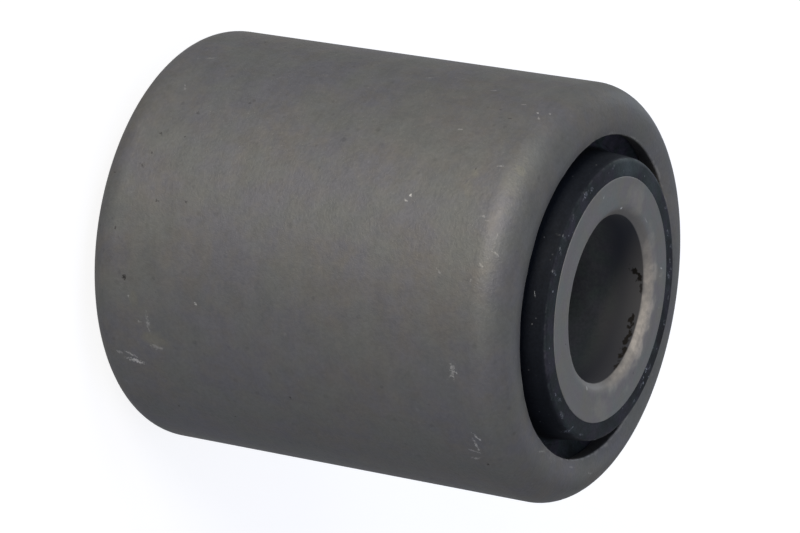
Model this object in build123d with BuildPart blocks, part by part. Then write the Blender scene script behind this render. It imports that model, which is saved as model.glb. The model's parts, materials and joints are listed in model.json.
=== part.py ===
"""Rubber metal bush: two steel sleeves with rubber between them, in millimetres.

The bush stands on its end, with its bore along Z and the origin in the middle of the bore.
Both ends are alike. Each of the two outer pieces is a lathe shape: the upper half of its section
is drawn, with x as the distance from the axis and y as the height, then mirrored and revolved.
"""

import os
from math import cos, isclose, radians, tan

from build123d import *

# ---- driving dimensions ----------------------------------------------------------------------

# Inner sleeve: a thick tube that one bolt clamps between the two ears of a bracket.
bore_d = 24.0
bore_chamfer = 1.0
inner_sleeve_od = 35.0
inner_sleeve_length = 71.0   # 2 mm proud of the outer sleeve at each end

# Outer sleeve: a tube pressed into an eye, with both ends rolled in over the rubber.
outer_sleeve_od = 60.0
outer_sleeve_wall = 3.0
outer_sleeve_length = 67.0
shoulder_r = 5.0         # outside radius of the rolled bend
roll_angle = 105.0       # turn of the bend: past 90 degrees the lip dips towards the bore
mouth_d = 46.0           # the opening that the lip leaves
lip_edge_r = 0.3         # edge between the lip's face and its cut end
lip_heel_r = 0.4         # the cut end's other edge, next to the rubber

# Rubber: it fills the room between the sleeves and ends in a flat ring and a groove.
ring_width = 2.6         # the ring lies against the inner sleeve's outside
ring_recess = 0.05       # how far the ring stays below the inner sleeve's end
ring_draft = 6.0         # lean of the ring's side, in degrees, so that it leaves the mould
groove_depth = 6.3       # from the ring's face down to the foot of its side
groove_foot_r = 0.8      # hollow corner at that foot
groove_sag = 0.25        # how far the groove's floor dips below a straight line
lip_grip = 0.4           # share of the lip's underside that rests on the rubber

# ---- sizes that follow from them -------------------------------------------------------------

bore_r = bore_d / 2
inner_sleeve_r = inner_sleeve_od / 2
outer_sleeve_r = outer_sleeve_od / 2
outer_sleeve_inside_r = outer_sleeve_r - outer_sleeve_wall

bend_start_y = outer_sleeve_length / 2 - shoulder_r
bend_inside_r = shoulder_r - outer_sleeve_wall

ring_y = inner_sleeve_length / 2 - ring_recess
ring_r = inner_sleeve_r + ring_width
groove_foot_x = ring_r + groove_depth * tan(radians(ring_draft))
groove_foot_y = ring_y - groove_depth


# ---- outer sleeve ----------------------------------------------------------------------------

with BuildPart() as outer_sleeve:
    with BuildSketch(Plane.XZ) as tube_section:
        with BuildLine():
            outside = Line((outer_sleeve_r, 0), (outer_sleeve_r, bend_start_y))
            shoulder = JernArc(outside @ 1, outside % 1, shoulder_r, roll_angle)
            lip_length = ((shoulder @ 1).X - mouth_d / 2) / cos(radians(roll_angle - 90))
            lip_face = PolarLine(shoulder @ 1, lip_length, roll_angle + 90)
            lip_end = PolarLine(lip_face @ 1, outer_sleeve_wall, roll_angle + 180)
            lip_under = PolarLine(lip_end @ 1, lip_length, roll_angle - 90)
            bend_inside = JernArc(lip_under @ 1, lip_under % 1, bend_inside_r, -roll_angle)
            inside = Line(bend_inside @ 1, (outer_sleeve_inside_r, 0))
            Line(inside @ 1, outside @ 0)
        make_face()
        fillet(tube_section.vertices().sort_by_distance(lip_face @ 1)[0], lip_edge_r)
        fillet(tube_section.vertices().sort_by_distance(lip_end @ 1)[0], lip_heel_r)
        mirror(about=Plane.XZ)
    revolve(axis=Axis.Z)

# ---- rubber ----------------------------------------------------------------------------------

with BuildPart() as rubber_body:
    with BuildSketch(Plane.XZ) as rubber_section:
        with BuildLine():
            bond = Line((inner_sleeve_r, 0), (inner_sleeve_r, ring_y))
            ring_face = Line(bond @ 1, (ring_r, ring_y))
            ring_side = Line(ring_face @ 1, (groove_foot_x, groove_foot_y))
            groove_floor = SagittaArc(ring_side @ 1, lip_under @ (1 - lip_grip), -groove_sag)
            under_lip = Line(groove_floor @ 1, lip_under @ 1)
            in_bend = JernArc(under_lip @ 1, under_lip % 1, bend_inside_r, -roll_angle)
            against_sleeve = Line(in_bend @ 1, (outer_sleeve_inside_r, 0))
            Line(against_sleeve @ 1, bond @ 0)
        make_face()
        fillet(rubber_section.vertices().sort_by_distance(ring_side @ 1)[0], groove_foot_r)
        mirror(about=Plane.XZ)
    revolve(axis=Axis.Z)

# ---- inner sleeve ----------------------------------------------------------------------------

with BuildPart() as inner_sleeve:
    Cylinder(inner_sleeve_r, inner_sleeve_length)
    Hole(bore_r)
    circles = inner_sleeve.edges().filter_by(GeomType.CIRCLE)
    chamfer(circles.filter_by(lambda edge: isclose(edge.radius, bore_r)), bore_chamfer)

# ---- files -----------------------------------------------------------------------------------

os.makedirs("parts", exist_ok=True)

outer_sleeve.part.label = "outer_sleeve"
rubber_body.part.label = "rubber_body"
inner_sleeve.part.label = "inner_sleeve"

for piece in (outer_sleeve.part, rubber_body.part, inner_sleeve.part):
    export_step(piece, f"parts/{piece.label}.step")
    size = piece.bounding_box().size
    print(f"{piece.label}: {len(piece.solids())} solid, {len(piece.faces())} faces,"
          f" {piece.volume / 1000:.1f} cm3, {size.X:.2f} x {size.Y:.2f} x {size.Z:.2f} mm")
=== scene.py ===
# %% [markdown]
# # A rubber metal bush
#
# A bush like this sits in the eye of a spring or an arm. A bolt clamps the inner sleeve, the outer
# sleeve is pressed into the eye, and the rubber between the two takes the twist and the knocks.
#
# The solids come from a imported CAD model. They hold the sizes and the weight, and they stand on
# end with the bore along Z and the origin in the middle of the bore. This lesson gives the three
# pieces their finish: finer surfaces that keep the same sizes, and materials that show how the
# parts were made. The frame is loaded first, so that the outer sizes can be read from it.

# %% Load the frame
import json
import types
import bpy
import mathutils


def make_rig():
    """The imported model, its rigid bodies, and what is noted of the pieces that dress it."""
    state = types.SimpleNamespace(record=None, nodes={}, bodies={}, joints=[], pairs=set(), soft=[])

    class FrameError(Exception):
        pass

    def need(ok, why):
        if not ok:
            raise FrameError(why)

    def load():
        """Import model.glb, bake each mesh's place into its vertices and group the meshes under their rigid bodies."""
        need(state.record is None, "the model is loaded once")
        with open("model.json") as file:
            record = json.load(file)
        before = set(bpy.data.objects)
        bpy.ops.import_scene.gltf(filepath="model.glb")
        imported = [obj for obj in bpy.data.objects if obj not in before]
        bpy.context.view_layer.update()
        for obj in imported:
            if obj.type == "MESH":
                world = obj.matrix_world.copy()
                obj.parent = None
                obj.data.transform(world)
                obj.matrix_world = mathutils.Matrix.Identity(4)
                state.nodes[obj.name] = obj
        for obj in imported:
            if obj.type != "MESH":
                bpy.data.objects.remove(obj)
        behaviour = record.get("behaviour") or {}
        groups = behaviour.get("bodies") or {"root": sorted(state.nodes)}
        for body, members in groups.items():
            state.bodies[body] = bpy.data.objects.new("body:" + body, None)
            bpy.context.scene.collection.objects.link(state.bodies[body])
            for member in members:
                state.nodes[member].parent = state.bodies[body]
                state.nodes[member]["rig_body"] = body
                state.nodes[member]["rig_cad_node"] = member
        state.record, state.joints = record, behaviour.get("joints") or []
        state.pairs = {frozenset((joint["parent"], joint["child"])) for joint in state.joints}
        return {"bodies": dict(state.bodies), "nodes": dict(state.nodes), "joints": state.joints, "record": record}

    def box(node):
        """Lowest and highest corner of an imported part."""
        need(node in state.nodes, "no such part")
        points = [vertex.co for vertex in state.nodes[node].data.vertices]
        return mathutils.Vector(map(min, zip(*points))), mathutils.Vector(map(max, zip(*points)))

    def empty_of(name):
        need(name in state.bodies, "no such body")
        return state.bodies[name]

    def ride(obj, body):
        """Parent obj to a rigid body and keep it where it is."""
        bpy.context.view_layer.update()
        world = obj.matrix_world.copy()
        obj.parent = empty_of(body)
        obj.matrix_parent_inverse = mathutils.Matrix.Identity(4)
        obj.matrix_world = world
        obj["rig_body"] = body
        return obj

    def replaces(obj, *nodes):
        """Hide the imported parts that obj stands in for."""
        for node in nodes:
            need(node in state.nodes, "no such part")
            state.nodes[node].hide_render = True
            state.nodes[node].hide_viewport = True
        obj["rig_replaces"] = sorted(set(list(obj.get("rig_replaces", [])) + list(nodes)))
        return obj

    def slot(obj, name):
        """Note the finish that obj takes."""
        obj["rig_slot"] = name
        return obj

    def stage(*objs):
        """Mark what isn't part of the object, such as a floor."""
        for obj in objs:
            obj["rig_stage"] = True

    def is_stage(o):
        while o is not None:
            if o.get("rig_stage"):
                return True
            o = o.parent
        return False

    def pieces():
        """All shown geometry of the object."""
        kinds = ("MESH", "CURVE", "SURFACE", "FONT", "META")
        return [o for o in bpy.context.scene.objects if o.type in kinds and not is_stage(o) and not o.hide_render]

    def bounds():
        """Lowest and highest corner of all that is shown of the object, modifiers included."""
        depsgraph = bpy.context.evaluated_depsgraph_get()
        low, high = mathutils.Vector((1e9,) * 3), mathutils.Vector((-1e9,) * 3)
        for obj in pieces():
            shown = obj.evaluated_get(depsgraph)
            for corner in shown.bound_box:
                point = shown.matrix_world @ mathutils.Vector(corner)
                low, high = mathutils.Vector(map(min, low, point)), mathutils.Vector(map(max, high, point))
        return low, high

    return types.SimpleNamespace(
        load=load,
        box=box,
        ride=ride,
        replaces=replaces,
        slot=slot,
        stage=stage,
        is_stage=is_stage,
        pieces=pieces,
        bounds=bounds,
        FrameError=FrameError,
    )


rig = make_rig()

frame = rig.load()

import json
from math import atan2, cos, degrees, radians, sin, tan

import bpy
import numpy as np
from mathutils import Matrix, Vector

cad_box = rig.bounds()
MM = 0.001

print("bodies", sorted(frame["bodies"]), "nodes", sorted(frame["nodes"]))

# %% [markdown]
# ## The sizes that the finish needs
#
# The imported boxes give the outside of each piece. A box says nothing about a bend or a lip, so
# those few sizes are named here, in millimetres, with the values that the solids have. One place
# for them all keeps the surfaces, the wear and the dust in step with each other.

# %% Name the sizes in millimetres
outer_high = Vector(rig.box("outer_sleeve")[1]) / MM
rubber_high = Vector(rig.box("rubber_body")[1]) / MM
inner_high = Vector(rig.box("inner_sleeve")[1]) / MM

shell_r, shell_top = outer_high.x, outer_high.z
sleeve_r, sleeve_top = inner_high.x, inner_high.z
rubber_r, ring_top = rubber_high.x, rubber_high.z

bore_r = 12.0            # hole for the bolt
chamfer = 1.0            # cone at each end of the hole
wall = shell_r - rubber_r
shoulder_r = 5.0         # outside of the rolled bend
roll_turn = 105.0        # degrees that the sleeve's end was rolled through
mouth_r = 23.0           # opening that the rolled lip leaves
lip_edge_r = 0.3         # outer edge of the lip's cut end
lip_heel_r = 0.4         # inner edge of the cut end, on the rubber
lip_grip = 0.4           # share of the lip's underside that rests on the rubber
ring_r = sleeve_r + 2.6  # flat ring of rubber around the inner sleeve
ring_draft = 6.0         # degrees of lean on the ring's side
groove_depth = 6.3       # from the ring down to the foot of its side
groove_foot_r = 0.8      # hollow corner at that foot
groove_sag = 0.25        # dip of the groove's floor

print(f"shell {shell_r:.1f} x {shell_top:.1f}, wall {wall:.1f}, ring top {ring_top:.2f} mm")

# %% [markdown]
# ## The camera
#
# A long lens from well back keeps the round ends close to true ellipses. The line of sight makes
# about 62 degrees with the bore, so one end and the whole barrel show. The camera is rolled until
# the bore lies nearly level in the render, because a bush is usually shown lying on its side,
# while the part itself stands on its end on the floor. Its axes are worked out from those two
# angles, which is easier to check than three Euler angles typed in by hand.

# %% Place the camera
VIEW_TILT = radians(62.25)       # between the bore and the line of sight
VIEW_ROLL = radians(99.55)       # the camera's turn about its line of sight
VIEW_DISTANCE = 662.08 * MM
VIEW_ASIDE = 1.325 * MM          # small steps to the right and up, to centre the bush
VIEW_UP = -0.519 * MM
FOCAL_LENGTH, SENSOR_WIDTH = 207.2, 36.0     # mm, the camera's own

level = Vector((1, 0, 0))
upright = Vector((0, cos(VIEW_TILT), sin(VIEW_TILT)))
backwards = Vector((0, -sin(VIEW_TILT), cos(VIEW_TILT)))
right = cos(VIEW_ROLL) * level + sin(VIEW_ROLL) * upright
up = -sin(VIEW_ROLL) * level + cos(VIEW_ROLL) * upright

lens = bpy.data.cameras.new("view")
lens.lens = FOCAL_LENGTH
lens.sensor_width = SENSOR_WIDTH
lens.clip_start, lens.clip_end = 0.01, 50.0
camera = bpy.data.objects.new("view", lens)
turn = Matrix((right, up, backwards)).transposed().to_4x4()
place = VIEW_ASIDE * right + VIEW_UP * up + VIEW_DISTANCE * backwards
camera.matrix_world = Matrix.Translation(place) @ turn
bpy.context.scene.collection.objects.link(camera)
bpy.context.scene.camera = camera
bpy.context.scene.view_settings.view_transform = "Standard"

print("camera at", [round(v / MM, 1) for v in place], "mm")

# %% [markdown]
# ## Nodes in a few words
#
# Every finish below is a small network of nodes. Written out in full, each node takes four or
# five lines, so the first helper adds one node, feeds its inputs with numbers or with other
# nodes' outputs, and hands back one output, ready to feed the next node. The other helpers are
# the few operations that all the finishes use again and again.

# %% Helpers that add and feed nodes
def add(tree, kind, feeds=None, out=0, **settings):
    """Add a node, set it up, feed its inputs by name or number, and return one of its outputs."""
    node = tree.nodes.new(kind)
    for key, value in settings.items():
        setattr(node, key, value)
    for where, what in (feeds or {}).items():
        if isinstance(what, bpy.types.NodeSocket):
            tree.links.new(what, node.inputs[where])
        else:
            node.inputs[where].default_value = what
    return node.outputs[out] if node.outputs else node


def maths(tree, operation, *feeds):
    """One Math node."""
    return add(tree, "ShaderNodeMath", dict(enumerate(feeds)), operation=operation)


def times(tree, first, second):
    """A product."""
    return maths(tree, "MULTIPLY", first, second)


def blended(tree, share, first, second):
    """A colour between two colours, by a share from 0 to 1."""
    return add(tree, "ShaderNodeMix", {0: share, 6: first, 7: second}, out=2, data_type="RGBA")


def ramp(tree, value, low, high, to_low=0.0, to_high=1.0):
    """A smooth step: to_low at low, to_high at high, and an S curve between them. Low may be the
    larger of the two, so that the step falls."""
    feeds = {"Value": value, "From Min": low, "From Max": high, "To Min": to_low, "To Max": to_high}
    return add(tree, "ShaderNodeMapRange", feeds, interpolation_type="SMOOTHSTEP")


NOISE_LOW, NOISE_HIGH = 0.25, 0.75   # between which nearly all of the soft noise lies


def cloud(tree, vector, bore_scale_and_light, detail=3.0, roughness=0.5):
    """Soft noise between about NOISE_LOW and NOISE_HIGH."""
    feeds = {"Vector": vector, "Scale": bore_scale_and_light, "Detail": detail, "Roughness": roughness}
    return add(tree, "ShaderNodeTexNoise", feeds)


def weighted(tree, start, *terms):
    """start plus the sum of weight * value over the terms, each a pair (weight, value)."""
    total = start
    for weight, value in terms:
        total = add(tree, "ShaderNodeMath", {0: value, 1: weight, 2: total}, operation="MULTIPLY_ADD")
    return total


def grey(value):
    """A neutral colour with alpha."""
    return (value, value, value, 1.0)


print("node helpers:", [f.__name__ for f in (add, maths, times, blended, ramp, cloud, weighted, grey)])

# %% [markdown]
# ## Floor and background
#
# The floor is a plain pale sheet. To the camera it adds enough plain white of its own to match
# the white world behind it, yet it still takes the bush's soft shadow, because part of what the
# camera sees there is real light on the sheet. The world does the same trick: white for the
# camera and for gloss, and a cooler, plainer level for the light that it sends to the bush.

# %% Make the floor and the world
FLOOR_SIZE = 6.0                 # m
FLOOR_GAP = 0.05                 # mm below the bush, so that the rubber's witness line stays clear
FLOOR_COLOUR = grey(0.55)        # for the light that it sends back to the bush
FLOOR_SHOWN = grey(0.31)         # for the camera and for gloss, under its own white
FLOOR_OWN_WHITE = 0.84           # what it adds for them
SKY_COLOUR = (0.62, 0.69, 1.0, 1.0)
SKY_LEVEL = 0.55


def on_show(tree):
    """1 for rays from the camera, from gloss and through glass, and 0 for all other light."""
    seen, gloss, glass = (add(tree, "ShaderNodeLightPath", out=f"Is {kind} Ray")
                          for kind in ("Camera", "Glossy", "Transmission"))
    return maths(tree, "MAXIMUM", maths(tree, "MAXIMUM", seen, gloss), glass)


half = FLOOR_SIZE / 2
floor_mesh = bpy.data.meshes.new("floor")
floor_mesh.from_pydata(
    [(-half, -half, 0), (half, -half, 0), (half, half, 0), (-half, half, 0)], [], [(0, 1, 2, 3)])
floor_mesh.transform(Matrix.Translation((0, 0, -(sleeve_top + FLOOR_GAP) * MM)))
floor = bpy.data.objects.new("floor", floor_mesh)
bpy.context.scene.collection.objects.link(floor)
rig.stage(floor)

paper = bpy.data.materials.new("pale floor")
paper.use_nodes = True
tree = paper.node_tree
tree.nodes.clear()
shown = on_show(tree)
sheet = add(tree, "ShaderNodeBsdfDiffuse", {"Color": blended(tree, shown, FLOOR_COLOUR, FLOOR_SHOWN)})
own_white = add(tree, "ShaderNodeEmission",
                {"Color": grey(1.0), "Strength": times(tree, shown, FLOOR_OWN_WHITE)})
both = add(tree, "ShaderNodeAddShader", {0: sheet, 1: own_white})
add(tree, "ShaderNodeOutputMaterial", {"Surface": both})
floor_mesh.materials.append(paper)

world = bpy.data.worlds.new("white room")
bpy.context.scene.world = world
world.use_nodes = True
tree = world.node_tree
tree.nodes.clear()
sky = add(tree, "ShaderNodeBackground", {"Color": SKY_COLOUR, "Strength": SKY_LEVEL})
white = add(tree, "ShaderNodeBackground", {"Color": grey(1.0), "Strength": 1.0})
mixed = add(tree, "ShaderNodeMixShader", {0: on_show(tree), 1: sky, 2: white})
add(tree, "ShaderNodeOutputWorld", {"Surface": mixed})

print("floor", FLOOR_SIZE, "m, world level", SKY_LEVEL)

# %% [markdown]
# ## Lamps
#
# Three square lamps hang round the bush. The warm key lamp stands 26 degrees round from the
# camera and nearly level with the bush. It is broad, so the satin steel gets a wide, gentle
# highlight, where a small lamp would draw a hard streak. A weak cool lamp, further round and
# higher, fills the flank beside that highlight. Another, low behind, catches the far rim of the
# rolled lip. Each is placed by the direction it shines from, since that is how one moves it.

# %% Hang the lamps
LAMP_DISTANCE = 1.2              # m, from the middle of the bush
WARM, COOL = (1.0, 0.91, 0.77), (0.76, 0.86, 1.0)


def lamp(name, azimuth, height, size, watts, colour):
    """A square lamp that faces the origin from an azimuth and a height, both in degrees:
    direction = (cos height * cos azimuth, cos height * sin azimuth, sin height)."""
    light = bpy.data.lights.new(name, "AREA")
    light.shape, light.size, light.energy, light.color = "SQUARE", size, watts, colour
    a, h = radians(azimuth), radians(height)
    direction = Vector((cos(h) * cos(a), cos(h) * sin(a), sin(h)))
    hung = bpy.data.objects.new(name, light)
    hung.location = direction * LAMP_DISTANCE
    hung.rotation_euler = direction.to_track_quat("Z", "Y").to_euler()
    bpy.context.scene.collection.objects.link(hung)
    print(f"{name}: {watts} W from azimuth {azimuth}, height {height}")


lamp("key lamp", azimuth=-116, height=9, size=0.4, watts=17.0, colour=WARM)
lamp("side lamp", azimuth=-145, height=32, size=0.4, watts=3.0, colour=COOL)
lamp("back lamp", azimuth=118, height=7, size=0.3, watts=3.0, colour=COOL)

# %% [markdown]
# ## Turned surfaces
#
# All three pieces are lathe shapes: a closed outline, drawn as distance from the axis against
# height, carried round a full turn. Both ends of a piece are alike, so the upper half of the
# outline is drawn and mirrored. Each corner is given with a radius, and the rounding is worked
# out from it, as one would dimension it on a drawing.
#
# Every corner is rounded a little, even a sharp one, because a real edge always catches some
# light. A point close to each end of a straight run keeps the shading flat along the run, so the
# surface needs no custom normals.

# %% Work out an outline with rounded corners
GUARD = 0.04                     # mm, distance of that close point from a corner's arc
MOST_ON_RUN = 8                  # points on one straight run, however long


def rounded_outline(corners, step=2.0, turn_step=6.0):
    """Straight runs between corners, each corner cut by an arc of its own radius.

    At a corner with turn t and radius r, the arc leaves each run r * tan(t / 2) before the corner.
    Its points are centre + r * (cos a, sin a), with a going from one run's normal to the next's.
    """
    spots = np.array([corner[:2] for corner in corners], float)
    runs = np.diff(spots, axis=0)
    runs /= np.linalg.norm(runs, axis=1)[:, None]
    radii = [corner[2] for corner in corners[1:-1]]
    pieces, last = [], spots[0]
    for spot, ahead, behind, radius in zip(spots[1:-1], runs[1:], runs[:-1], radii):
        bend = atan2(behind[0] * ahead[1] - behind[1] * ahead[0], behind @ ahead)
        reach = radius * tan(abs(bend) / 2)
        side = np.sign(bend) * np.array([-behind[1], behind[0]])
        centre = spot - reach * behind + radius * side
        count = max(3, round(abs(degrees(bend)) / turn_step))
        angles = atan2(-side[1], -side[0]) + bend * np.linspace(0, 1, count + 1)
        arc = centre + radius * np.stack([np.cos(angles), np.sin(angles)], axis=1)
        pieces += [straight(last, arc[0], step), arc]
        last = arc[-1]
    pieces += [straight(last, spots[-1], step), spots[-1:]]
    return np.concatenate(pieces)


def straight(start, end, step):
    """Points start + t * (end - start), from just after start to just before end, about a step
    apart where MOST_ON_RUN allows it."""
    length = np.linalg.norm(end - start)
    if length < 3 * GUARD:
        return np.empty((0, 2))
    inner = np.linspace(GUARD, length - GUARD, int(np.clip(round(length / step) + 1, 2, MOST_ON_RUN)))
    return start + inner[:, None] / length * (end - start)


def mirrored(upper):
    """The whole outline: the upper half, then the same points below in the other order."""
    lower = upper[-2:0:-1] * (1, -1)
    return np.concatenate([upper, lower])


trial = rounded_outline([(2, 0, 0), (2, 2, 0.5), (0, 2, 0)])
cut_back = np.linalg.norm(trial - (2, 2), axis=1).min()
print(f"a square corner of radius 0.5 mm: {len(trial)} points, cut back by {cut_back:.2f} mm")

# %% [markdown]
# The outline is then carried round. The surface is a grid: one index runs along the outline and
# the other round the axis, and both wrap, so the mesh has no seam and no pole. The outline may
# change a little on its way round, which is how the small unevenness of real parts gets in.

# %% Carry an outline round the axis
ROUND_STEPS = 440                # facets in a full turn
RIPPLE_GAIN = 1.6                # brings a ripple's peaks to about 1


def normals_along(outline):
    """Unit normals that point out of the outline: the direction to the next point less the one
    from the last point, turned a quarter to the right."""
    along = np.roll(outline, -1, axis=0) - np.roll(outline, 1, axis=0)
    along /= np.linalg.norm(along, axis=1)[:, None]
    return np.stack([along[:, 1], -along[:, 0]], axis=1)


def lathe(name, outline, lift):
    """Point (i, j) is the outline's point i, moved by lift(i, j) along its normal and turned by
    angle j: (r * cos, r * sin, z). Lift is in millimetres and takes the angles as a row."""
    angles = np.linspace(0, 2 * np.pi, ROUND_STEPS, endpoint=False)
    grid = outline[:, None, :] + lift(outline, angles)[:, :, None] * normals_along(outline)[:, None, :]
    radius, height = grid[..., 0], grid[..., 1]
    points = np.stack([radius * np.cos(angles), radius * np.sin(angles), height], axis=-1) * MM

    number = np.arange(radius.size).reshape(radius.shape)
    onward, over = np.roll(number, -1, axis=1), np.roll(number, -1, axis=0)
    across = np.roll(over, -1, axis=1)
    quads = np.stack([number, onward, across, over], axis=-1).reshape(-1, 4)

    mesh = bpy.data.meshes.new(name)
    mesh.vertices.add(points.size // 3)
    mesh.vertices.foreach_set("co", points.astype(np.float32).ravel())
    mesh.loops.add(quads.size)
    mesh.loops.foreach_set("vertex_index", quads.astype(np.int32).ravel())
    mesh.polygons.add(len(quads))
    mesh.polygons.foreach_set("loop_start", np.arange(0, quads.size, 4, dtype=np.int32))
    mesh.polygons.foreach_set("use_smooth", np.ones(len(quads), dtype=bool))
    mesh.update(calc_edges=True)
    mesh.validate()
    made = bpy.data.objects.new(name, mesh)
    bpy.context.scene.collection.objects.link(made)
    print(f"{name}: {len(outline)} x {ROUND_STEPS} points, {2 * len(quads)} triangles")
    return made


def ripple(angles, waves, seed):
    """A smooth unevenness round the axis, between about -1 and 1: the sum of sines with the given
    numbers of waves per turn, each with its own seeded phase and a height that falls with it."""
    chance = np.random.default_rng(seed)
    waves = np.array(waves, float)
    heights = chance.uniform(0.5, 1.0, len(waves)) / np.sqrt(waves / waves.min())
    phases = chance.uniform(0, 2 * np.pi, len(waves))
    total = np.sin(np.outer(angles, waves) + phases) @ heights
    return total / np.abs(heights).sum() * RIPPLE_GAIN


def near(outline, spot, reach):
    """How close each point of the outline is to a spot: 1 at the spot, 0 past the reach."""
    away = np.linalg.norm(outline - np.array(spot), axis=1)
    return np.clip(1 - away / reach, 0, 1) ** 2


print(f"one facet is {2 * np.pi * shell_r / ROUND_STEPS:.2f} mm wide on the barrel")

# %% [markdown]
# ## The outer sleeve
#
# The outer sleeve is a length of steel tube whose ends are rolled in over the rubber. Its outside
# is what the eye grips. Rolling leaves a round shoulder and a lip that dips a little towards the
# middle. It also leaves traces: the lip's edge wavers by a few hundredths of a millimetre, and
# the barrel is not perfectly round. Both come in as a lift along the outline's normal.

# %% Make the outer sleeve
def at_roll(start, length, angle):
    """A point at a length and an angle from a start, both in the outline's plane."""
    return start + length * np.array([cos(radians(angle)), sin(radians(angle))])


bend_start = shell_top - shoulder_r
shoulder_reach = shoulder_r * tan(radians(roll_turn / 2))
shoulder_corner = np.array([shell_r, bend_start + shoulder_reach])
lip_run = (shoulder_corner[0] - mouth_r) / cos(radians(roll_turn - 90))
lip_tip = at_roll(shoulder_corner, lip_run, roll_turn + 90)
lip_heel = at_roll(lip_tip, wall, roll_turn + 180)
inner_reach = (shoulder_r - wall) * tan(radians(roll_turn / 2))
inner_corner = np.array([rubber_r, bend_start + inner_reach])

sleeve_outline = mirrored(rounded_outline([
    (shell_r, 0, 0),
    (*shoulder_corner, shoulder_r),
    (*lip_tip, lip_edge_r),
    (*lip_heel, lip_heel_r),
    (*inner_corner, shoulder_r - wall),
    (rubber_r, 0, 0),
], step=3.0))

BARREL_WAVER = 0.015             # mm
BARREL_SWING = 2.2               # radians that its waver shifts through, from the middle to an end
LIP_WAVER = 0.05                 # mm
LIP_REACH = 2.2                  # mm, how far from the lip's tip its waver spreads


def rolled_unevenness(outline, angles):
    """The barrel wavers slowly, and the two lips' edges a little more and faster."""
    height = outline[:, 1:]
    outside = np.clip((outline[:, :1] - rubber_r) / wall, 0, 1)
    barrel = outside * np.cos(height / shell_top * BARREL_SWING) * ripple(angles, [2, 3, 5], seed=11)
    edges = 0.0
    for side, waves, seed in ((1, [5, 9, 14, 23, 37], 12), (-1, [5, 8, 15, 22, 39], 13)):
        share = near(outline, lip_tip * (1, side), LIP_REACH)[:, None]
        edges = edges + share * ripple(angles, waves, seed)
    return BARREL_WAVER * barrel + LIP_WAVER * edges


outer_sleeve = lathe("rolled_outer_sleeve", sleeve_outline, rolled_unevenness)

# %% [markdown]
# ## The rubber
#
# The rubber is moulded between the sleeves and grips both. At each end it finishes in a flat
# ring around the inner sleeve, and the mould leaves a groove between that ring and the rolled
# lip. A thin witness line, where the mould's two halves met, stands up along the ring's outer
# corner by a few hundredths of a millimetre, more where the rubber bled further.

# %% Make the rubber
foot = np.array([ring_r + groove_depth * tan(radians(ring_draft)), ring_top - groove_depth])
groove_end = at_roll(lip_heel, (lip_run - shoulder_reach) * (1 - lip_grip), roll_turn - 90)
dip = np.array([groove_end[1] - foot[1], foot[0] - groove_end[0]])
groove_middle = (foot + groove_end) / 2 + 2 * groove_sag * dip / np.linalg.norm(dip)

RING_EDGE = 0.70                 # mm, the soft outer corner of the ring
RING_ROOT = 0.03                 # where the ring meets the sleeve
GROOVE_BEND = 5.0                # the wide hollow of the groove's floor
GROOVE_RIM = 0.05                # where the rubber meets the lip

rubber_outline = mirrored(rounded_outline([
    (rubber_r, 0, 0),
    (*inner_corner, shoulder_r - wall),
    (*groove_end, GROOVE_RIM),
    (*groove_middle, GROOVE_BEND),
    (*foot, groove_foot_r),
    (ring_r, ring_top, RING_EDGE),
    (sleeve_r, ring_top, RING_ROOT),
    (sleeve_r, 0, 0),
], step=1.2))

WITNESS_HEIGHT = 0.06            # mm, where the witness line is tallest
WITNESS_REACH = 0.22             # mm, half its width
WITNESS_BLED = 0.35              # raises its share of that height
WITNESS_LEAST = 0.12             # and the least that the share falls to
RUBBER_WAVER = 0.05              # mm


def moulded_unevenness(outline, angles):
    """The ring's corner carries the witness line, and the groove's surfaces waver where they are
    free, which is a few tenths of a millimetre away from the steel on both sides."""
    radius, height = outline[:, 0], np.abs(outline[:, 1])
    free = (radius > sleeve_r + 0.2) & (height > foot[1] - 0.5) & (radius < groove_end[0] - 0.3)
    lift = RUBBER_WAVER * free[:, None] * ripple(angles, [3, 4, 7, 11], seed=21)
    mid_corner = np.array([ring_r, ring_top]) - 0.3 * RING_EDGE     # halfway round its arc
    for side in (1, -1):
        bleed = ripple(angles, [2, 5, 13, 29, 61, 97], seed=22 + side) + WITNESS_BLED
        line = near(outline, mid_corner * (1, side), WITNESS_REACH)[:, None]
        lift = lift + WITNESS_HEIGHT * line * np.clip(bleed, WITNESS_LEAST, 1)
    return lift


rubber = lathe("moulded_rubber", rubber_outline, moulded_unevenness)

# %% [markdown]
# ## The inner sleeve
#
# The inner sleeve is thick tube, cut and faced in a lathe, with a small cone at each end of the
# bore so that the bolt finds its way in. Its ends are what the bracket clamps, so they are flat,
# and only their edges are broken.

# %% Make the inner sleeve
EDGE_BREAK = 0.12                # mm, the faced edges' tiny radius
CONE_EDGE = 1.5                  # mm, the rubbed edge between the cone and the face

inner_outline = mirrored(rounded_outline([
    (sleeve_r, 0, 0),
    (sleeve_r, sleeve_top, EDGE_BREAK),
    (bore_r + chamfer, sleeve_top, CONE_EDGE),
    (bore_r, sleeve_top - chamfer, EDGE_BREAK),
    (bore_r, 0, 0),
], step=2.5))

CONE_WAVER = 0.06                # mm
CONE_REACH = 0.9                 # mm, how far from the cone's edge its waver spreads


def turned_unevenness(outline, angles):
    """The cone's outer edge is eaten away in places, where the tool chattered."""
    lift = 0.0
    for side in (1, -1):
        edge = near(outline, np.array([bore_r + chamfer, sleeve_top]) * (1, side), CONE_REACH)[:, None]
        lift = lift - CONE_WAVER * edge * np.clip(ripple(angles, [3, 7, 17, 31], seed=31 + side), 0, 1)
    return lift


inner_sleeve = lathe("turned_inner_sleeve", inner_outline, turned_unevenness)

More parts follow.
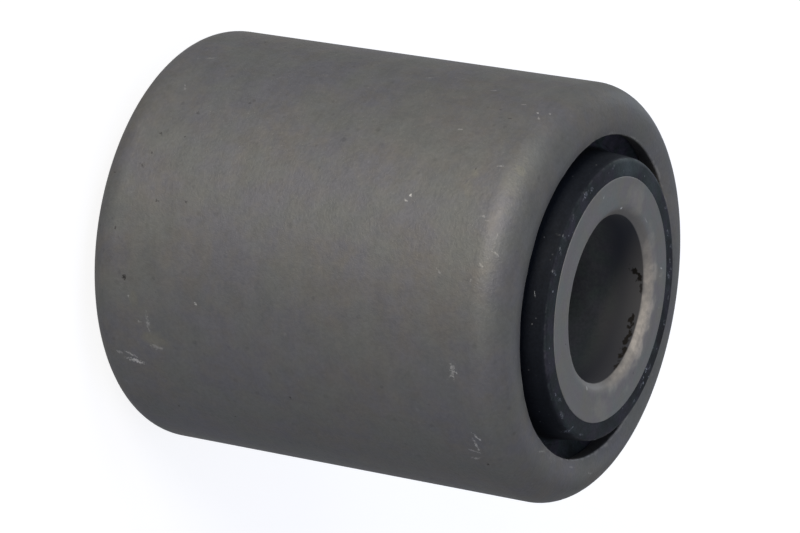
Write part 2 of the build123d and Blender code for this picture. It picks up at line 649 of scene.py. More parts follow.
# %% [markdown]
# ## Where on the bush
#
# The finishes follow the way the pieces were made: grain runs round the barrel, tool marks ring
# the faces, and wear sits on edges. So most masks need to know how far a point is from the axis
# and how high it is. A node group works that out once from Object coordinates, which lie still on
# the part whatever the camera does.

# %% Start a node group, and make the first one
NOWHERE = (0.0, 0.0, 0.0)        # what a vector input holds until it is fed


def new_group(name, takes, gives):
    """An empty node group. takes maps each input's name to its default, gives names the outputs."""
    tree = bpy.data.node_groups.new(name, "ShaderNodeTree")
    for word, value in takes.items():
        kind = "NodeSocketVector" if isinstance(value, tuple) else "NodeSocketFloat"
        tree.interface.new_socket(word, in_out="INPUT", socket_type=kind).default_value = value
    for word in gives:
        tree.interface.new_socket(word, in_out="OUTPUT", socket_type="NodeSocketFloat")
    return tree, tree.nodes.new("NodeGroupInput").outputs, tree.nodes.new("NodeGroupOutput").inputs


def scaled(tree, vector, factor):
    """A vector times a number."""
    return add(tree, "ShaderNodeVectorMath", {0: vector, "Scale": factor}, operation="SCALE")


def length(tree, vector):
    """How long a vector is."""
    return add(tree, "ShaderNodeVectorMath", {0: vector}, out="Value", operation="LENGTH")


def split(tree, vector):
    """A vector's three parts."""
    return add(tree, "ShaderNodeSeparateXYZ", {0: vector}).node.outputs


def joined(tree, x, y, z):
    """A vector from three parts."""
    return add(tree, "ShaderNodeCombineXYZ", {0: x, 1: y, 2: z})


place_group, takes, gives = new_group(
    "place on the bush", {"Vector": NOWHERE}, ["From Axis", "From Middle"])
x, y, z = split(place_group, scaled(place_group, takes["Vector"], 1 / MM))
place_group.links.new(length(place_group, joined(place_group, x, y, 0.0)), gives["From Axis"])
place_group.links.new(maths(place_group, "ABSOLUTE", z), gives["From Middle"])

print("node group:", place_group.name)

# %% [markdown]
# ## Grain, patches and specks
#
# Three more groups give the textures that metal and rubber share. Grain is noise squeezed across
# the direction in which the work was drawn or turned, so that it reads as fine streaks. Patches
# are soft clouds, for stains and an uneven coating. Specks are round dots in scattered cells, for
# dust and pits: each cell draws its own lot, so that only some of them hold a dot.

# %% Make the grain group
grain_group, takes, gives = new_group(
    "grain round the axis",
    {"Vector": NOWHERE, "Across": 0.0, "Line Width": 0.3, "Line Length": 5.0}, ["Value"])
x, y, _ = split(grain_group, scaled(grain_group, takes["Vector"], 1 / MM))
streaks = joined(grain_group, maths(grain_group, "DIVIDE", x, takes["Line Length"]),
                 maths(grain_group, "DIVIDE", y, takes["Line Length"]),
                 maths(grain_group, "DIVIDE", takes["Across"], takes["Line Width"]))
fine = cloud(grain_group, streaks, 1.0, detail=1.0)
grain_group.links.new(ramp(grain_group, fine, NOISE_LOW, NOISE_HIGH, -1.0, 1.0), gives["Value"])

print("node group:", grain_group.name)

# %% Make the patches group
patch_group, takes, gives = new_group(
    "soft patches", {"Vector": NOWHERE, "Size": 10.0, "Sharpness": 0.3}, ["Value"])
finer = maths(patch_group, "DIVIDE", 1 / MM, takes["Size"])
clouds = cloud(patch_group, scaled(patch_group, takes["Vector"], finer), 1.0, detail=2.0, roughness=0.6)
reach = weighted(patch_group, 0.3, (-0.28, takes["Sharpness"]))      # from 0.3, soft, to 0.02, sharp
contrast = ramp(patch_group, clouds, maths(patch_group, "SUBTRACT", 0.5, reach),
                maths(patch_group, "ADD", 0.5, reach), -1.0, 1.0)
patch_group.links.new(contrast, gives["Value"])

print("node group:", patch_group.name)

# %% Make the specks group
LEAST_BULK = 0.4                 # a speck is from 0.4 to 1.4 times its size
LEAST_TONE = 0.3                 # and from 0.3 to 1.3 times its strength
SPECK_CORE = 0.4                 # share of a speck's reach that is solid, before its soft border

speck_group, takes, gives = new_group(
    "scattered specks",
    {"Vector": NOWHERE, "Spacing": 2.0, "Size": 0.2, "Share": 0.4}, ["Mask"])
cells = scaled(speck_group, takes["Vector"], maths(speck_group, "DIVIDE", 1 / MM, takes["Spacing"]))
dots = add(speck_group, "ShaderNodeTexVoronoi", {"Vector": cells, "Scale": 1.0}).node.outputs
lot, bulk, tone = split(speck_group, dots["Color"])
size = times(speck_group, takes["Size"], maths(speck_group, "ADD", LEAST_BULK, bulk))
reach = maths(speck_group, "DIVIDE", size, takes["Spacing"])
dot = ramp(speck_group, maths(speck_group, "DIVIDE", dots["Distance"], reach), SPECK_CORE, 1.0, 1.0, 0.0)
picked = times(speck_group, dot, maths(speck_group, "LESS_THAN", lot, takes["Share"]))
toned = times(speck_group, picked, maths(speck_group, "ADD", LEAST_TONE, tone))
speck_group.links.new(toned, gives["Mask"])

print("node group:", speck_group.name)

# %% [markdown]
# ## Single marks
#
# A bruise or a pit is one event in one place, so each gets a place of its own rather than noise.
# A Mapping node of the Texture kind moves the pattern to the mark's centre, turns it into the
# surface and stretches it to the mark's half sizes; whatever then lies within a length of 1 is
# inside the mark. A shared noise frays the border, so that no mark is a neat ellipse.

# %% Make the group for one mark
MARK_CORE = 0.35                 # share of a mark's half sizes that keeps its full strength
MARK_DEPTH = 1.5                 # mm, how far a mark reaches into and out of the surface

mark_group, takes, gives = new_group(
    "one mark",
    {"Vector": NOWHERE, "Centre": NOWHERE, "Turn": NOWHERE, "Half Size": (1.0, 1.0, 1.0),
     "Fray": 0.0}, ["Mask"])
local = add(mark_group, "ShaderNodeMapping",
            {"Vector": scaled(mark_group, takes["Vector"], 1 / MM), "Location": takes["Centre"],
             "Rotation": takes["Turn"], "Scale": takes["Half Size"]}, vector_type="TEXTURE")
frayed = maths(mark_group, "ADD", length(mark_group, local), takes["Fray"])
mark_group.links.new(ramp(mark_group, frayed, MARK_CORE, 1.0, 1.0, 0.0), gives["Mask"])


def marks(tree, here, fray, rows, radius=None, face=None):
    """The strongest of several marks, on a round wall of a given radius or on a flat face at a
    given height. A row holds a mark's azimuth, its height on the wall (or its distance from the
    axis on the face), two half sizes, its lean and its strength.

    The first half size lies along u = cos(lean) * round + sin(lean) * along, the second at a right
    angle to it in the surface, and the mark's depth lies straight out of the surface.
    """
    total = 0.0
    axis = Vector((0, 0, 1))
    for azimuth, place, half_u, half_v, lean, strength in rows:
        a, t = radians(azimuth), radians(lean)
        outward, round_it = Vector((cos(a), sin(a), 0)), Vector((-sin(a), cos(a), 0))
        if face is None:
            centre, along, depth = outward * radius + axis * place, axis, outward
        else:
            centre, along, depth = outward * place + axis * face, -outward, axis
        u = cos(t) * round_it + sin(t) * along
        v = cos(t) * along - sin(t) * round_it
        turn = Matrix((u, v, depth)).transposed().to_euler()
        feeds = {"Vector": here, "Centre": centre, "Turn": turn,
                 "Half Size": (half_u, half_v, MARK_DEPTH), "Fray": fray}
        mask = add(tree, "ShaderNodeGroup", feeds, node_tree=mark_group)
        total = maths(tree, "MAXIMUM", total, times(tree, mask, strength))
    return total


print("node group:", mark_group.name)

# %% [markdown]
# ## Wear along an edge
#
# Edges are rubbed first. On a lathe shape an edge is a circle, so the distance to it follows from
# two distances, from the axis and from the middle. A noise makes the worn band wide in some
# places and lets it run out in others.

# %% Make the edge wear group
WEAR_CORE = 0.2                  # share of the reach that is worn right through
WEAR_PATCHES = 0.7               # of them in a millimetre, along the edge

wear_group, takes, gives = new_group(
    "wear on a round edge",
    {"Vector": NOWHERE, "From Axis": 0.0, "From Middle": 0.0, "Edge From Axis": 1.0,
     "Edge From Middle": 0.0, "Reach": 0.5, "Raggedness": 0.5}, ["Mask"])
aside = maths(wear_group, "SUBTRACT", takes["From Axis"], takes["Edge From Axis"])
above = maths(wear_group, "SUBTRACT", takes["From Middle"], takes["Edge From Middle"])
gap = length(wear_group, joined(wear_group, aside, above, 0.0))
away = maths(wear_group, "DIVIDE", gap, takes["Reach"])
rub = cloud(wear_group, scaled(wear_group, takes["Vector"], WEAR_PATCHES / MM), 1.0, roughness=0.65)
uneven = times(wear_group, ramp(wear_group, rub, 0.3, 0.7, -1.0, 1.0), takes["Raggedness"])
worn = ramp(wear_group, maths(wear_group, "ADD", away, uneven), WEAR_CORE, 1.0, 1.0, 0.0)
wear_group.links.new(worn, gives["Mask"])

print("node group:", wear_group.name)

# %% [markdown]
# ## Small tools for the three finishes
#
# Each material starts with the same few nodes and reads the groups many times. These helpers
# place a group with its own values, so that a finish reads as a list of what is on the surface.

# %% Start a finish and place the groups in it
def started(name):
    """A new node material, its tree, its Object coordinates and its place on the bush."""
    made = bpy.data.materials.new(name)
    made.use_nodes = True
    made.node_tree.nodes.clear()
    here = add(made.node_tree, "ShaderNodeTexCoord", out="Object")
    spot = add(made.node_tree, "ShaderNodeGroup", {"Vector": here}, node_tree=place_group).node.outputs
    return made, made.node_tree, here, spot


def grain(tree, here, across, width, run):
    """Streaks of a width and a length in millimetres, from -1 to 1."""
    feeds = {"Vector": here, "Across": across, "Line Width": width, "Line Length": run}
    return add(tree, "ShaderNodeGroup", feeds, node_tree=grain_group)


def patches(tree, here, size, sharpness=0.3):
    """Clouds of a size in millimetres, from -1 to 1."""
    feeds = {"Vector": here, "Size": size, "Sharpness": sharpness}
    return add(tree, "ShaderNodeGroup", feeds, node_tree=patch_group)


def specks(tree, here, spacing, size, share):
    """Dots of a size and a spacing in millimetres, in a share of the cells."""
    feeds = {"Vector": here, "Spacing": spacing, "Size": size, "Share": share}
    return add(tree, "ShaderNodeGroup", feeds, node_tree=speck_group)


def wear(tree, here, spot, from_axis, from_middle, reach, ragged):
    """Wear near the circle at a distance from the axis and from the middle."""
    feeds = {"Vector": here, "From Axis": spot["From Axis"], "From Middle": spot["From Middle"],
             "Edge From Axis": from_axis, "Edge From Middle": from_middle,
             "Reach": reach, "Raggedness": ragged}
    return add(tree, "ShaderNodeGroup", feeds, node_tree=wear_group)


print("surface helpers:", [f.__name__ for f in (marks, grain, patches, specks, wear)])

# %% Mix values and complete a finish
def shaded(tree, colour, factor):
    """A colour times a number, or times another colour."""
    feeds = {0: 1.0, 6: colour, 7: factor}
    return add(tree, "ShaderNodeMix", feeds, out=2, data_type="RGBA", blend_type="MULTIPLY")


def towards(tree, here, azimuth):
    """How far a point lies from the axis towards an azimuth: x * cos(azimuth) + y * sin(azimuth)."""
    x, y, _ = split(tree, scaled(tree, here, 1 / MM))
    return weighted(tree, 0.0, (cos(radians(azimuth)), x), (sin(radians(azimuth)), y))


RIM_TINT = grey(0.3)             # tones down the bright rim that bare metal has at a slant


def completed(made, colour, roughness, relief, constants):
    """Finish a material. Relief is a height in thousandths of a millimetre, and constants holds
    what is the same all over, for the shader's own sockets."""
    tree = made.node_tree
    bump = add(tree, "ShaderNodeBump", {"Height": relief, "Distance": 0.001 * MM, "Strength": 1.0})
    feeds = {"Base Color": colour, "Roughness": roughness, "Normal": bump, **constants}
    shader = add(tree, "ShaderNodeBsdfPrincipled", feeds, out="BSDF")
    add(tree, "ShaderNodeOutputMaterial", {"Surface": shader})
    print(f"{made.name}: {len(tree.nodes)} nodes")
    return made


print("finish helpers:", [f.__name__ for f in (started, shaded, towards, completed)])

# %% [markdown]
# ## Phosphated steel
#
# The outer sleeve is phosphated: a thin, dark grey crystal coat that holds oil. It is nearly
# matt, a little warmer where it is thin and cooler where it is thick, with faint flecks in it and
# the tube's drawing marks showing through as streaks round the barrel. Handling has left small
# pits, pale scuffs where the coat is bruised down to metal, and a few smears of grease. The rolled
# lip is painted lighter, more so towards one side: painted light where the lamps leave it too dark.
#
# The coat is mixed from large, middling and fine patches, each weak, because one strong noise
# would look like camouflage. Pits, scuffs and smears are listed one by one, by azimuth, height
# and half sizes in millimetres, so that each can be moved or left out by hand.

# %% Name the coat's colours and list its marks
COAT_COOL = (0.0905, 0.0910, 0.0980, 1.0)
COAT_WARM = (0.0990, 0.0955, 0.0900, 1.0)
COAT_GREEN = (0.0915, 0.0965, 0.0925, 1.0)
GREASE = (0.125, 0.122, 0.100, 1.0)
BARE = (0.34, 0.34, 0.33, 1.0)
PIT = (0.035, 0.034, 0.034, 1.0)

PITS = [                         # azimuth, height, half sizes round and along, lean, strength
    (-74, -26.3, 0.40, 0.36, 0, 1.0), (-87, -28.4, 0.25, 0.22, 0, 0.6), (-115, -25.3, 0.45, 0.22, 60, 0.6),
    (-109, -25.5, 0.24, 0.22, 60, 0.5), (-97, -17.8, 0.26, 0.22, 80, 0.5), (-96, -22.5, 0.34, 0.22, 80, 0.5),
    (-115, -21.3, 0.20, 0.18, 0, 0.5), (-102, -30.7, 0.50, 0.18, 80, 0.5), (-129, -14.1, 0.34, 0.18, 90, 0.5),
    (-105, -26.4, 0.50, 0.20, 60, 0.5), (-123, -21.0, 0.45, 0.22, 60, 0.4), (-161, -20.9, 0.30, 0.25, 0, 0.7),
    (-33, -21.2, 0.24, 0.22, 0, 0.7), (-46, -0.8, 0.26, 0.22, 0, 0.7), (-33, -11.9, 0.24, 0.22, 0, 0.7),
    (-33, 28.8, 0.30, 0.24, 0, 1.0), (-151, 15.8, 0.24, 0.20, 0, 0.4), (-141, 22.9, 0.30, 0.20, 90, 0.4),
    (-138, 25.2, 0.50, 0.20, 100, 0.5), (-119, 24.4, 0.18, 0.16, 0, 0.7),
]
SCUFFS = [
    (-49, -25.8, 1.60, 0.40, 82, 0.8), (-51, -26.3, 1.00, 0.22, 68, 0.6), (-51, -28.4, 0.60, 0.26, 84, 0.35),
    (-55, -21.7, 1.20, 0.55, 85, 0.25), (-62, -22.6, 1.60, 0.30, 5, 0.30), (-70, -14.5, 0.28, 0.24, 10, 1.0),
    (-108.6, 16.4, 0.32, 0.26, 0, 1.0), (-107, 15.9, 0.42, 0.14, 60, 0.7), (-107, 17.2, 0.16, 0.12, 0, 0.4),
    (-121, 27.7, 0.50, 0.18, 95, 0.45), (-64, 26.3, 1.40, 0.20, 10, 0.7), (-64, 26.5, 1.00, 0.16, 72, 0.6),
    (-63, 26.2, 1.10, 0.16, -40, 0.6), (-65, 26.4, 0.50, 0.40, 0, 0.4), (-44, 28.6, 0.80, 0.22, 40, 0.8),
    (-41, 28.1, 1.40, 0.24, 10, 0.6), (-38, 27.6, 1.00, 0.18, 80, 0.6), (-35, 27.3, 0.85, 0.26, 100, 0.6),
    (-93, 29.5, 0.60, 0.20, 45, 0.2), (-97, 31.0, 0.85, 0.18, 58, 0.25), (-89, 28.4, 0.24, 0.22, 0, 0.3),
    (-106, 28.1, 0.18, 0.60, 0, 0.3), (-105, 28.7, 0.16, 0.45, 0, 0.2), (-102, 30.6, 0.40, 0.20, 30, 0.25),
    (-90, 23.3, 0.80, 0.16, 50, 0.25), (-95, 32.3, 0.16, 0.14, 0, 0.35), (-145, -25.4, 1.40, 0.16, 110, 0.3),
    (-131, -25.3, 0.80, 0.16, 30, 0.3), (-69, -25.6, 0.25, 0.20, 0, 0.4), (-62, -24.0, 0.40, 0.20, 90, 0.4),
    (-152, 8.6, 0.75, 0.14, 112, 0.35), (-150, 19.2, 0.80, 0.14, 108, 0.4),
    (-145, 25.5, 0.50, 0.14, 105, 0.3), (-142, 28.4, 0.22, 0.20, 0, 0.8), (-140, 29.1, 0.50, 0.18, 40, 0.4),
    (-143, 30.0, 0.18, 0.18, 0, 0.6), (-131, 19.2, 0.45, 0.14, 100, 0.4),
]
LIP_SCUFFS = [                   # azimuth, distance from the axis, half sizes, lean, strength
    (-24, 24.4, 1.20, 0.14, 28, 0.4), (15, 25.6, 1.20, 0.14, -16, 0.3), (1, 24.1, 1.20, 0.14, 0, 0.3),
    (-15, 23.9, 1.80, 0.70, 10, 0.14), (-22, 23.9, 0.90, 0.50, 0, 0.10),
]
SMEARS = [
    (-57, -22.3, 3.2, 1.8, 80, 0.5), (-121, 30.8, 1.2, 0.8, 60, 0.4), (-69, -25.0, 1.6, 1.2, 0, 0.4),
    (-118, 24.5, 1.2, 0.8, 60, 0.4), (-113, 24.4, 1.4, 0.8, 20, 0.3),
]
ROLL_STARTS, ROLL_ENDS = 2.5, 5.0    # mm in from the barrel, between which the lip's painted light sets in
LIP_PAINTED_LIGHT = 0.20               # painted light: how much lighter the lip is painted, on average
LIP_LIGHT_SIDE = 48                   # azimuth towards which the lip's painted light is stronger, in degrees
LIP_LIGHT_SWING = 0.12               # how much that painted light swings towards that side

print(f"{len(PITS)} pits, {len(SCUFFS) + len(LIP_SCUFFS)} scuffs, {len(SMEARS)} smears")

# %% Mix the phosphated steel
made, tree, here, spot = started("phosphated steel")
across = maths(tree, "SUBTRACT", spot["From Middle"], spot["From Axis"])
drawn = grain(tree, here, across, 0.35, 4.0)
broad = grain(tree, here, across, 1.6, 14.0)
stain = patches(tree, here, 15.0, 0.2)
blotch = patches(tree, here, 3.0, 0.2)
crystal = patches(tree, here, 0.55, 0.1)
nap = patches(tree, here, 0.28, 0.3)
fray = times(tree, nap, 0.5)

warmer = weighted(tree, 0.5, (0.5, stain), (0.35, patches(tree, here, 2.0, 0.3)))
tint = blended(tree, warmer, COAT_COOL, COAT_WARM)
tint = blended(tree, weighted(tree, 0.25, (0.4, patches(tree, here, 7.0, 0.3))), tint, COAT_GREEN)
smears = marks(tree, here, times(tree, blotch, 0.4), SMEARS, radius=shell_r)
tint = blended(tree, smears, tint, GREASE)
flecks = maths(tree, "SUBTRACT", specks(tree, here, 1.9, 0.34, 0.5), specks(tree, here, 1.5, 0.40, 0.5))
colour = shaded(tree, tint, weighted(tree, 1.0, (0.02, drawn), (0.02, broad), (0.06, blotch),
                                     (0.06, crystal), (0.12, flecks)))
# painted light: the rolled lip is painted lighter, more so towards one side
rolled = ramp(tree, spot["From Axis"], shell_r - ROLL_STARTS, shell_r - ROLL_ENDS)
lip_painted_light = weighted(tree, LIP_PAINTED_LIGHT, (LIP_LIGHT_SWING / shell_r, towards(tree, here, LIP_LIGHT_SIDE)))
colour = shaded(tree, colour, weighted(tree, 1.0, (lip_painted_light, rolled)))

pits = maths(tree, "MAXIMUM", marks(tree, here, fray, PITS, radius=shell_r),
             times(tree, specks(tree, here, 7.0, 0.22, 0.12), 0.6))
scuffs = maths(tree, "MAXIMUM", marks(tree, here, fray, SCUFFS, radius=shell_r),
               marks(tree, here, fray, LIP_SCUFFS, face=shell_top))
scuffs = times(tree, scuffs, ramp(tree, crystal, -0.6, 0.5, 0.35, 1.0))
rubbed = wear(tree, here, spot, lip_tip[0], lip_tip[1], 0.45, 0.7)
colour = blended(tree, pits, colour, PIT)
bright = maths(tree, "MAXIMUM", scuffs, times(tree, rubbed, 0.2))
colour = blended(tree, bright, colour, BARE)
roughness = weighted(tree, 0.60, (0.03, blotch), (0.02, drawn), (-0.1, bright), (0.2, pits))
relief = weighted(tree, 0.0, (1.5, drawn), (9.0, crystal), (5.0, nap), (-60.0, pits))
outer_sleeve.data.materials.append(completed(made, colour, roughness, relief, {
    "Metallic": 0.65, "Specular IOR Level": 0.4, "Specular Tint": RIM_TINT}))

# %% [markdown]
# ## Rubber
#
# Natural rubber filled with carbon black is close to black and matt. The mould's release powder
# and dust lie on it as a grey film: on the ring's flat face it is wiped thin on one side and
# caked on the other. The groove's floor is painted several times as grey as that film: painted
# light in a recess that the lamps leave dark. The ring's side, which stands nearly upright, holds
# none and stays black. Specks of dust and tufts of lint stick to the face, and the witness line
# shows as a thin paler thread.
#
# The film is one share, from black to grey, so wiping and caking only add to it or take away
# from it. The lint is placed tuft by tuft and broken up by a fine grit, so that it doesn't look
# painted on.

# %% Name the rubber's colours and list its lint
BLACK = (0.0060, 0.0073, 0.0102, 1.0)
FILM_GREEN = (0.0275, 0.0350, 0.0345, 1.0)
FILM_VIOLET = (0.0315, 0.0305, 0.0375, 1.0)
DUST = (0.34, 0.355, 0.36, 1.0)
GROOVE_PAINTED_LIGHT = 2.90               # painted light: how many times the ring's film the groove's floor is painted with

LINT = [                         # azimuth, distance from the axis, half sizes, lean, strength
    (-135, 19.3, 0.80, 0.50, 20, 0.8), (-132, 19.3, 0.30, 0.16, 40, 0.8), (-140, 19.0, 0.60, 0.40, 0, 0.5),
    (-107, 19.7, 0.40, 0.20, 0, 0.6), (-106, 19.2, 0.60, 0.30, 50, 0.4), (-112, 19.4, 0.80, 0.30, 80, 0.3),
    (-122, 19.4, 0.60, 0.24, 30, 0.4), (-97, 19.5, 0.60, 0.30, 60, 0.4), (-37, 18.5, 0.70, 0.30, 30, 0.5),
    (-42, 19.0, 0.40, 0.20, 0, 0.6), (-30, 19.4, 1.00, 0.40, 10, 0.5), (-18, 20.0, 0.70, 0.50, 0, 0.5),
    (-17, 19.3, 0.50, 0.14, 60, 0.6), (-7, 19.4, 0.70, 0.20, 10, 0.4), (8, 20.0, 0.50, 0.16, 0, 0.5),
    (60, 18.0, 0.60, 0.40, 20, 1.0), (63, 18.6, 0.40, 0.24, 0, 0.9), (56, 18.2, 0.40, 0.24, 0, 0.6),
    (52, 18.6, 0.60, 0.20, 20, 0.5), (44, 19.0, 0.50, 0.20, 0, 0.4), (105, 18.3, 0.70, 0.34, 30, 0.7),
    (108, 19.0, 0.50, 0.24, 60, 0.7), (112, 18.7, 0.60, 0.20, 0, 0.6), (118, 19.3, 0.60, 0.30, 40, 0.5),
    (126, 18.6, 0.70, 0.30, 0, 0.5), (138, 19.2, 0.60, 0.24, 50, 0.5), (95, 18.9, 0.40, 0.20, 0, 0.6),
    (84, 19.0, 0.60, 0.20, 40, 0.5), (155, 19.6, 0.40, 0.16, 10, 0.6), (-160, 19.4, 0.60, 0.20, 30, 0.4),
]
POWDERED = [(-175, 18.8, 7.0, 2.4, 0, 1.0), (158, 18.8, 6.0, 2.2, 0, 0.6)]
WIPED = [(30, 18.8, 5.0, 2.4, 0, 0.4), (58, 18.8, 6.5, 2.6, 0, 0.9), (86, 18.8, 6.5, 2.6, 0, 0.9),
         (114, 18.8, 6.0, 2.4, 0, 0.7)]
WALL_LINT = [                    # on the ring's side: azimuth, height, half sizes, lean, strength
    (-87, 33.5, 0.50, 0.14, 20, 0.7), (-66, 31.5, 0.16, 0.14, 0, 0.6),
]

print(len(LINT) + len(WALL_LINT), "tufts of lint")

# %% Mix the rubber's finish
made, tree, here, spot = started("moulded rubber")
on_face = ramp(tree, spot["From Middle"], ring_top - RING_EDGE / 2, ring_top - 0.05)
smear = patches(tree, here, 2.2, 0.35)
skin = patches(tree, here, 0.35, 0.2)
flow = patches(tree, here, 6.0, 0.2)
witness = wear(tree, here, spot, ring_r, ring_top, WITNESS_REACH, 0.9)
gathered = ramp(tree, smear, -0.3, 0.6, 0.15, 1.0)
fine_dust = times(tree, specks(tree, here, 0.7, 0.12, 0.4), gathered)
dust = maths(tree, "MAXIMUM", fine_dust, specks(tree, here, 2.6, 0.20, 0.3))
stuck = times(tree, dust, weighted(tree, 0.15, (0.4, on_face)))
fray = times(tree, skin, 0.6)
lint = maths(tree, "MAXIMUM", marks(tree, here, fray, LINT, face=ring_top),
             marks(tree, here, fray, WALL_LINT, radius=ring_r + 0.3))
grit = ramp(tree, patches(tree, here, 0.22, 0.1), 0.1, 0.8)
lint = times(tree, lint, maths(tree, "ADD", grit, 0.15))
# painted light: the groove's floor is painted several times as grey as the ring's film
past_the_ring = ramp(tree, spot["From Axis"], ring_r + 0.4, foot[0] + 0.5)
groove_painted_light = times(tree, past_the_ring, GROOVE_PAINTED_LIGHT)
powdered = marks(tree, here, times(tree, smear, 0.2), POWDERED, face=ring_top)
wiped = marks(tree, here, times(tree, smear, 0.3), WIPED, face=ring_top)
film_and_groove_light = times(tree, maths(tree, "MAXIMUM", on_face, groove_painted_light),
             weighted(tree, 0.54, (0.22, smear), (0.18, flow), (0.9, powdered), (-0.4, wiped)))

tint = blended(tree, weighted(tree, 0.5, (0.6, patches(tree, here, 3.0, 0.7))), FILM_GREEN, FILM_VIOLET)
tint = blended(tree, times(tree, powdered, 0.8), tint, FILM_GREEN)
colour = add(tree, "ShaderNodeMix", {0: film_and_groove_light, 6: BLACK, 7: tint}, out=2,
             data_type="RGBA", clamp_factor=False)          # the groove's painted light passes 1
colour = shaded(tree, colour, weighted(tree, 1.0, (0.20, skin), (0.12, flow)))
colour = blended(tree, times(tree, witness, 0.04), colour, DUST)
colour = blended(tree, maths(tree, "MAXIMUM", stuck, lint), colour, DUST)
roughness = weighted(tree, 0.68, (0.06, smear))
relief = weighted(tree, 0.0, (4.0, skin), (15.0, dust))
rubber.data.materials.append(completed(made, colour, roughness, relief, {
    "Metallic": 0.0, "Specular IOR Level": 0.05}))

# %% [markdown]
# ## Turned steel
#
# The inner sleeve's faces are turned: the tool leaves fine rings, a shade apart, and the oil
# leaves soft stains. The cone at the bore's mouth is cut last, and both it and the face beside it
# are rubbed bright in places; on the cone's side that faces the key lamp the rubs are also a
# painted highlight. The bore itself is as the tube came: dark scale, with spots of soot just
# inside it. Its colour is painted lighter deep inside and darker near the mouth, and lighter on
# one side than on the other: painted light and shade that even out how the lamps light the hole.
#
# Face, cone and bore are one surface with one material, as they are one piece of steel. Masks
# from the distance to the axis and to the middle tell them apart, and each fades over a few
# tenths of a millimetre, because a hard border would look like paint.

# %% Name the steel's colours and list its marks
TURNED_COOL = (0.123, 0.133, 0.129, 1.0)
TURNED_WARM = (0.138, 0.136, 0.121, 1.0)
TURNED_VIOLET = (0.135, 0.130, 0.131, 1.0)
CONE = (0.125, 0.120, 0.111, 1.0)
POLISH_AND_HIGHLIGHT = (0.288, 0.265, 0.230, 1.0)
# deep in the bore: the scale's colours, painted lighter as painted light where the lamps reach little
BORE_GREEN = (0.118, 0.124, 0.100, 1.0)
BORE_VIOLET = (0.128, 0.116, 0.107, 1.0)
PAINTED_MOUTH_SHADE = (0.045, 0.045, 0.049, 1.0)
PAINTED_DEPTH_FROM, PAINTED_DEPTH_TO = 9.2, 3.7      # mm below the sleeve's end, between which the painted shade near the mouth sets in
BORE_LIGHT_SIDE = 150                  # azimuth towards which the bore is painted lighter, in degrees
LIGHT_SIDE_FROM, LIGHT_SIDE_TO = -0.3, 1.2   # of the bore's radius towards that side, between which the painted light sets in
PAINTED_BORE_SHADE = (0.72, 0.74, 0.75, 1.0)    # painted shade and painted light: the scale's colour is multiplied by these
PAINTED_BORE_LIGHT = (1.40, 1.40, 1.27, 1.0)
SOOT = (0.009, 0.008, 0.007, 1.0)
SHINE = (0.60, 0.60, 0.58, 1.0)

NICKS = [                        # azimuth, distance from the axis, half sizes, lean, strength
    (-173, 13.0, 0.30, 0.22, 0, 1.0), (111, 15.8, 0.40, 0.14, 60, 0.4), (-13, 13.1, 0.30, 0.24, 90, 0.4),
    (107, 15.4, 0.14, 0.12, 0, 0.5), (150, 13.8, 0.90, 0.12, 0, 0.2), (-150, 16.0, 0.35, 0.14, 40, 0.3),
    (90, 16.2, 0.10, 0.10, 0, 0.4),
]
RUBS_AND_HIGHLIGHT = [                         # where the cone and the face beside it are polished, and, on the cone's side that faces the key lamp, a painted highlight
    (72, 12.9, 9.0, 2.0, 0, 1.0), (80, 13.6, 7.0, 2.0, 0, 0.15), (40, 13.0, 8.0, 1.5, 0, 0.40),
    (105, 12.9, 6.0, 1.7, 0, 0.75), (122, 13.1, 6.0, 1.8, 0, 0.4), (50, 13.0, 6.0, 1.6, 0, 0.6),
    (170, 14.8, 4.0, 2.6, 0, 0.25), (10, 15.4, 3.5, 2.4, 0, 0.20),
]
DENTS = [(49, 14.9, 0.22, 0.20, 0, 0.8), (95, 16.9, 0.18, 0.15, 0, 0.5), (-60, 14.2, 0.18, 0.15, 0, 0.5)]
BORE_STAINS = [                  # azimuth, height, half sizes, lean, strength
    (112, 33.4, 1.2, 0.50, -50, 1.0), (108, 33.9, 1.0, 0.40, 40, 1.0), (102, 34.2, 1.0, 0.25, 0, 0.8),
    (78, 33.7, 1.1, 0.50, 0, 1.0), (66, 33.9, 1.6, 0.55, 5, 1.0), (53, 34.1, 1.5, 0.45, 5, 1.0),
    (42, 34.3, 1.2, 0.35, 5, 0.9), (-150, 33.2, 1.5, 0.60, 0, 0.8),
]

print(f"{len(NICKS)} nicks, {len(DENTS)} dents, {len(RUBS_AND_HIGHLIGHT)} rubs, {len(BORE_STAINS)} spots of soot")

# %% Tell face, cone and bore apart
made, tree, here, spot = started("turned steel")
outwards = maths(tree, "ADD", spot["From Middle"], spot["From Axis"])
rings = grain(tree, here, outwards, 0.16, 12.0)
broad_rings = grain(tree, here, outwards, 0.8, 20.0)
stain = patches(tree, here, 5.0, 0.25)
speckle = patches(tree, here, 0.45, 0.15)
fray = times(tree, speckle, 0.45)

in_bore = ramp(tree, spot["From Axis"], bore_r + 0.12, bore_r + 0.02)
below_cone = ramp(tree, spot["From Middle"], sleeve_top - chamfer + 0.15, sleeve_top - chamfer - 0.1)
inside = times(tree, in_bore, below_cone)
on_cone = ramp(tree, spot["From Axis"], bore_r + chamfer + 0.4, bore_r + chamfer - 0.3)

print("masks of the turned steel:", len(tree.nodes), "nodes")

# %% Mix the turned steel
colour = blended(tree, weighted(tree, 0.5, (0.7, stain)), TURNED_COOL, TURNED_WARM)
colour = blended(tree, weighted(tree, 0.3, (0.7, patches(tree, here, 3.0, 0.5))), colour, TURNED_VIOLET)
colour = blended(tree, on_cone, colour, CONE)
ragged = times(tree, patches(tree, here, 3.0, 0.1), 0.35)
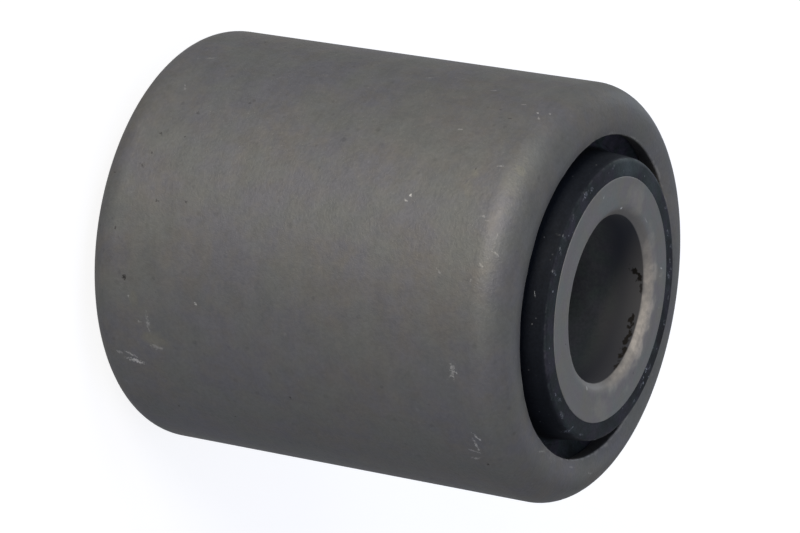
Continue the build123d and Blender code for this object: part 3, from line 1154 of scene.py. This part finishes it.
# polished rubs, which on the cone's side facing the key lamp are also a painted highlight
rubs_and_highlight = marks(tree, here, ragged, RUBS_AND_HIGHLIGHT, face=sleeve_top - 0.4)
rubs_and_highlight = times(tree, rubs_and_highlight, ramp(tree, patches(tree, here, 1.1, 0.4), -1.0, 0.8, 0.65, 1.0))
colour = blended(tree, rubs_and_highlight, colour, POLISH_AND_HIGHLIGHT)
colour = shaded(tree, colour, weighted(tree, 1.0, (0.035, rings), (0.03, broad_rings), (0.05, speckle)))

bore_scale_and_light = blended(tree, weighted(tree, 0.5, (0.5, patches(tree, here, 4.0, 0.4))), BORE_GREEN, BORE_VIOLET)
bore_scale_and_light = shaded(tree, bore_scale_and_light, weighted(tree, 1.0, (0.12, speckle), (0.10, stain)))
# painted light and shade: lighter deep in the bore, darker near its mouth
painted_mouth_shade_share = ramp(tree, spot["From Middle"], sleeve_top - PAINTED_DEPTH_FROM, sleeve_top - PAINTED_DEPTH_TO)
bore_scale_and_light = blended(tree, painted_mouth_shade_share, bore_scale_and_light, PAINTED_MOUTH_SHADE)
# painted light and shade: one side of the bore lighter, the other darker
painted_bore_side = ramp(tree, towards(tree, here, BORE_LIGHT_SIDE), LIGHT_SIDE_FROM * bore_r, LIGHT_SIDE_TO * bore_r)
bore_scale_and_light = shaded(tree, bore_scale_and_light, blended(tree, painted_bore_side, PAINTED_BORE_SHADE, PAINTED_BORE_LIGHT))
ragged = times(tree, patches(tree, here, 0.9, 0.5), 0.7)
bore_scale_and_light = blended(tree, marks(tree, here, ragged, BORE_STAINS, radius=bore_r), bore_scale_and_light, SOOT)
colour = blended(tree, inside, colour, bore_scale_and_light)

nicks = marks(tree, here, fray, NICKS, face=sleeve_top)
dents = marks(tree, here, fray, DENTS, face=sleeve_top)
rubbed = wear(tree, here, spot, sleeve_r, sleeve_top, 0.22, 0.8)
colour = blended(tree, maths(tree, "MAXIMUM", nicks, times(tree, rubbed, 0.03)), colour, SHINE)
colour = blended(tree, dents, colour, PIT)
metal = weighted(tree, 0.4, (-0.4, inside))      # scale is an oxide, not bare metal
roughness = weighted(tree, 0.52, (0.03, stain), (0.03, rings), (0.12, inside), (-0.1, nicks))
relief = weighted(tree, 0.0, (0.8, rings), (1.5, speckle), (-20.0, dents))
inner_sleeve.data.materials.append(completed(made, colour, roughness, relief, {
    "Metallic": metal, "Specular IOR Level": 0.2, "Specular Tint": RIM_TINT}))

# %% [markdown]
# ## Ride, replace and measure
#
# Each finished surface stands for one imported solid, so it hides that solid, rides on the same
# body and takes the same material slot. The bush has no joint, so there is one body, the root.
# Rubber, not a hinge, lets the two sleeves move. Last, the box of the solids and the box of what
# now shows are written side by side, because the finish must not change the sizes.

# %% Put the pieces on the frame
for piece, node, slot in ((outer_sleeve, "outer_sleeve", "phosphated_steel"),
                          (rubber, "rubber_body", "rubber"),
                          (inner_sleeve, "inner_sleeve", "turned_steel")):
    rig.replaces(piece, node)
    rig.ride(piece, "root")
    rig.slot(piece, slot)
    print(f"{piece.name} stands for {node}, in {slot}")

# %% Write the sizes and finish
def plain_box(box):
    """A box as plain lists: its lowest and its highest corner."""
    return [[float(v) for v in corner] for corner in box]


with open("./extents.json", "w") as out:
    json.dump({"cad": plain_box(cad_box), "visual": plain_box(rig.bounds())}, out)
print(open("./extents.json").read())
